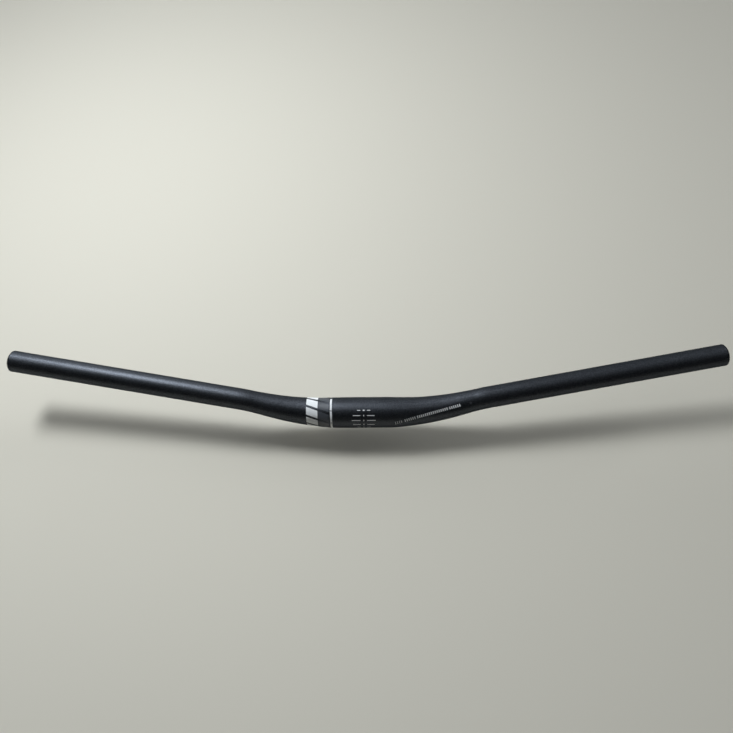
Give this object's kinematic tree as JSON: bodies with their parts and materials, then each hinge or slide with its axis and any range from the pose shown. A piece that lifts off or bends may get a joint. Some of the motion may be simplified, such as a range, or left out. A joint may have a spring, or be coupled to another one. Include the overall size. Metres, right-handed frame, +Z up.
{
  "type": "riser handlebar",
  "caption": "Riser handlebar for a bicycle: a butted aluminium tube with a straight clamp section, bent tapering shoulders and straight grip ends.",
  "frame": {"origin": "middle of the stem clamp section, on the tube's axis", "axes": "+X along the clamp section, +Y back towards the rider, +Z up"},
  "size_m": [0.7336, 0.072, 0.061],
  "materials": {
    "black_anodised": "blasted and anodised satin black",
    "white_print": "thin white ink, half matt",
    "grey_print": "thin grey ink, half matt"
  },
  "bodies": {
    "root": {"handlebar": "black_anodised"}
  },
  "joints": []
}
